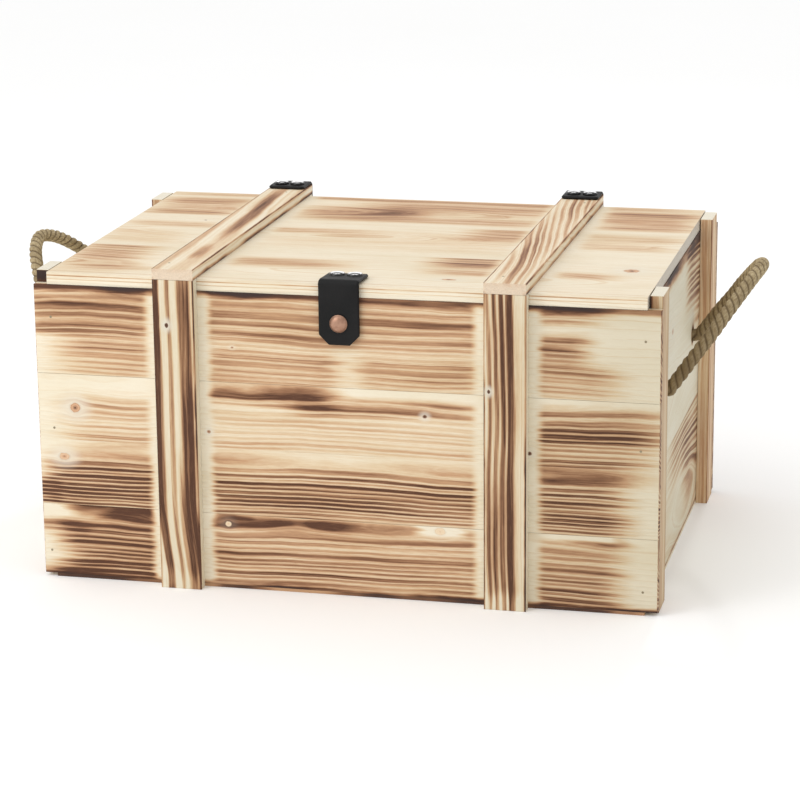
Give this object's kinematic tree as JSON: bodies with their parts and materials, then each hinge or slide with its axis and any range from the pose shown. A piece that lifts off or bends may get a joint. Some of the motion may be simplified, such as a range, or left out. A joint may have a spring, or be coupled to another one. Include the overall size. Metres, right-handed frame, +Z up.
{
  "type": "wooden shipping crate",
  "caption": "Flamed spruce storage crate with a battened lid on leather hinge straps, a leather closure tab with a press stud, and a rope handle at each end.",
  "frame": {"origin": "middle of the underside, on the face that the crate stands on", "axes": "+X along the crate's length to its right end, +Y from the front with the closure tab to the hinged back, +Z up"},
  "size_m": [0.7484, 0.4411, 0.3208],
  "materials": {
    "scorched_spruce": "flamed and brushed",
    "pale_spruce": "lightly flamed and brushed",
    "plywood": "raw",
    "black_leather": "satin",
    "black_steel": "gloss",
    "copper_stud": "satin",
    "jute_rope": "rough"
  },
  "bodies": {
    "crate": {"bottom_plate": "plywood", "front_board_lower": "scorched_spruce", "front_board_middle": "scorched_spruce", "front_board_upper": "scorched_spruce", "back_board_lower": "scorched_spruce", "back_board_middle": "scorched_spruce", "back_board_upper": "scorched_spruce", "left_end_board_lower": "pale_spruce", "left_end_board_upper": "pale_spruce", "right_end_board_lower": "pale_spruce", "right_end_board_upper": "pale_spruce", "corner_cleat_front_left": "scorched_spruce", "corner_cleat_front_right": "scorched_spruce", "corner_cleat_back_left": "scorched_spruce", "corner_cleat_back_right": "scorched_spruce", "front_batten_left": "scorched_spruce", "front_batten_right": "scorched_spruce", "back_batten_left": "scorched_spruce", "back_batten_right": "scorched_spruce", "hinge_strap_lower_left": "black_leather", "hinge_strap_lower_right": "black_leather", "hinge_lower_left_washer_1": "black_steel", "hinge_lower_left_washer_2": "black_steel", "hinge_lower_left_screw_1": "black_steel", "hinge_lower_left_screw_2": "black_steel", "hinge_lower_right_washer_1": "black_steel", "hinge_lower_right_washer_2": "black_steel", "hinge_lower_right_screw_1": "black_steel", "hinge_lower_right_screw_2": "black_steel", "closure_stud_base": "copper_stud", "rope_end_front_left": "jute_rope", "rope_end_front_right": "jute_rope", "rope_end_back_left": "jute_rope", "rope_end_back_right": "jute_rope"},
    "lid": {"lid_board_front": "pale_spruce", "lid_board_middle": "pale_spruce", "lid_board_back": "pale_spruce", "lid_batten_left": "scorched_spruce", "lid_batten_right": "scorched_spruce", "hinge_strap_upper_left": "black_leather", "hinge_strap_upper_right": "black_leather", "hinge_upper_left_washer_1": "black_steel", "hinge_upper_left_washer_2": "black_steel", "hinge_upper_left_screw_1": "black_steel", "hinge_upper_left_screw_2": "black_steel", "hinge_upper_right_washer_1": "black_steel", "hinge_upper_right_washer_2": "black_steel", "hinge_upper_right_screw_1": "black_steel", "hinge_upper_right_screw_2": "black_steel", "closure_strap": "black_leather", "closure_washer_1": "black_steel", "closure_washer_2": "black_steel", "closure_screw_1": "black_steel", "closure_screw_2": "black_steel"},
    "closure_tab": {"closure_tab": "black_leather", "closure_stud_cap": "copper_stud"},
    "handle_left": {"rope_handle_left": "jute_rope"},
    "handle_right": {"rope_handle_right": "jute_rope"}
  },
  "joints": [
    {"name": "lid_hinge", "type": "hinge", "parent": "crate", "child": "lid", "pos_m": [0, 0.217, 0.303], "axis": [-1, 0, 0], "range_deg": [0, 110]},
    {"name": "closure_fold", "type": "hinge", "parent": "lid", "child": "closure_tab", "pos_m": [0, -0.204, 0.303], "axis": [-1, 0, 0], "range_deg": [0, 160]},
    {"name": "handle_left_swing", "type": "hinge", "parent": "crate", "child": "handle_left", "pos_m": [-0.295, 0, 0.193], "axis": [0, -1, 0], "range_deg": [-30, 90]},
    {"name": "handle_right_swing", "type": "hinge", "parent": "crate", "child": "handle_right", "pos_m": [0.295, 0, 0.193], "axis": [0, 1, 0], "range_deg": [-30, 90]}
  ]
}
